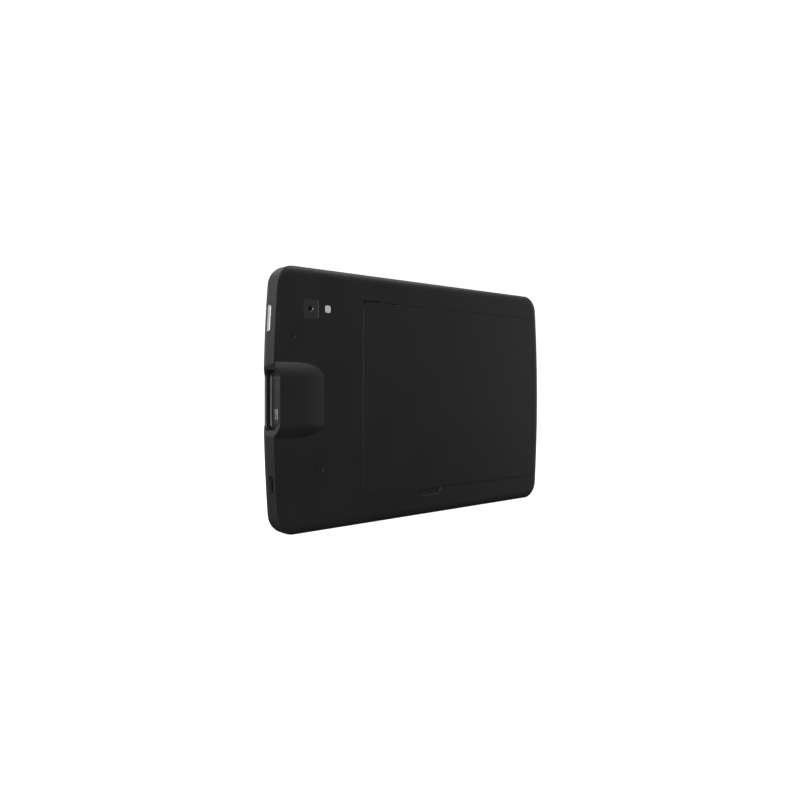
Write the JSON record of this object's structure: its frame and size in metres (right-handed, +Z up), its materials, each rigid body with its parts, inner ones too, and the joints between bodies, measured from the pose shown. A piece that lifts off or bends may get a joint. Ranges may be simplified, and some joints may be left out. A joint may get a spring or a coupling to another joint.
{
  "type": "data collector",
  "caption": "Slim rugged field data collector: a sealed tablet with a raised dock port and USB port on one end, side keys, camera and flash, and a lift-off battery cover.",
  "frame": {"origin": "bottom centre of the bounding box, with the tablet standing on its long bottom edge", "axes": "+X along the width away from the dock end, +Y out of the screen, +Z up; the back with the battery cover faces -Y"},
  "size_m": [0.2308, 0.0158, 0.15],
  "materials": {
    "housing_plastic": "finely textured charcoal black moulding",
    "bezel_plastic": "smooth satin black moulding",
    "front_glass": "black-backed toughened glass, polished",
    "display_glass": "switched-off display panel",
    "bright_sheet_metal": "bright stamped sheet",
    "seal_rubber": "moulded silicone seal",
    "cast_magnesium": "cast and bead-blasted magnesium alloy",
    "inner_plastic": "moulded inner plastic",
    "board_laminate": "green solder-masked laminate",
    "chip_resin": "moulded chip resin",
    "copper_foil": "copper foil",
    "antenna_ceramic": "fired antenna ceramic with a silvered face",
    "window_glass": "tinted camera window",
    "flash_polymer": "clear ribbed flash lens",
    "vent_membrane": "black breathing membrane",
    "connector_plastic": "glass-filled connector plastic",
    "gold_contacts": "gold-plated spring contact",
    "catch_metal": "blasted steel catch plate",
    "screw_steel": "zinc-plated screw",
    "pad_foam": "closed-cell foam",
    "battery_wrap": "wrapped lithium cells",
    "tab_film": "clear pull film",
    "key_metal": "bead-blasted anodised key",
    "key_plastic": "satin key moulding"
  },
  "bodies": {
    "tablet": {"rear_housing": "housing_plastic", "front_bezel": "bezel_plastic", "cover_glass": "front_glass", "display_panel": "display_glass", "display_backplate": "bright_sheet_metal", "frame_seal": "seal_rubber", "support_chassis": "cast_magnesium", "battery_tray": "inner_plastic", "main_board": "board_laminate", "processor": "chip_resin", "memory_chips": "chip_resin", "processor_shield": "bright_sheet_metal", "heat_spreader": "copper_foil", "radio_shield": "bright_sheet_metal", "gnss_antenna": "antenna_ceramic", "rear_camera": "inner_plastic", "camera_window": "window_glass", "flash_led": "chip_resin", "flash_lens": "flash_polymer", "microphone": "bright_sheet_metal", "pressure_vent": "vent_membrane", "front_camera": "inner_plastic", "light_sensor": "chip_resin", "dock_connector": "connector_plastic", "dock_contacts": "gold_contacts", "dock_catch": "catch_metal", "usb_port": "bright_sheet_metal", "power_switch": "bright_sheet_metal", "volume_switches": "bright_sheet_metal", "speaker_left": "inner_plastic", "speaker_right": "inner_plastic", "vibration_motor": "bright_sheet_metal", "wifi_antenna": "copper_foil", "cell_antenna": "copper_foil", "battery_connector": "connector_plastic", "card_reader": "bright_sheet_metal", "board_screws": "screw_steel", "chassis_screws": "screw_steel", "housing_screws": "screw_steel", "cover_seal": "seal_rubber"},
    "cover": {"battery_cover": "housing_plastic", "cover_pads": "pad_foam"},
    "battery": {"battery_pack": "battery_wrap", "battery_terminals": "gold_contacts", "pull_tab": "tab_film"},
    "power_key": {"power_key": "key_metal"},
    "volume_rocker": {"volume_rocker": "key_plastic"}
  },
  "joints": [
    {"name": "cover_lift", "type": "slide", "parent": "tablet", "child": "cover", "axis": [0, -1, 0], "range_m": [0, 0.06]},
    {"name": "battery_lift", "type": "slide", "parent": "tablet", "child": "battery", "axis": [0, -1, 0], "range_m": [0, 0.03]},
    {"name": "power_press", "type": "slide", "parent": "tablet", "child": "power_key", "axis": [0.9984, 0, -0.0559], "range_m": [0, 0.0004], "stiffness_N_per_m": 1500, "springref_m": -0.0005},
    {"name": "volume_rock", "type": "hinge", "parent": "tablet", "child": "volume_rocker", "pos_m": [-0.076, 0, 0.147], "axis": [0, 1, 0], "range_deg": [-1.5, 1.5], "stiffness_Nm_per_rad": 0.4}
  ],
  "couplings": [
    {"joint": "battery_lift", "follows": "cover_lift", "ratio": 0.5}
  ]
}
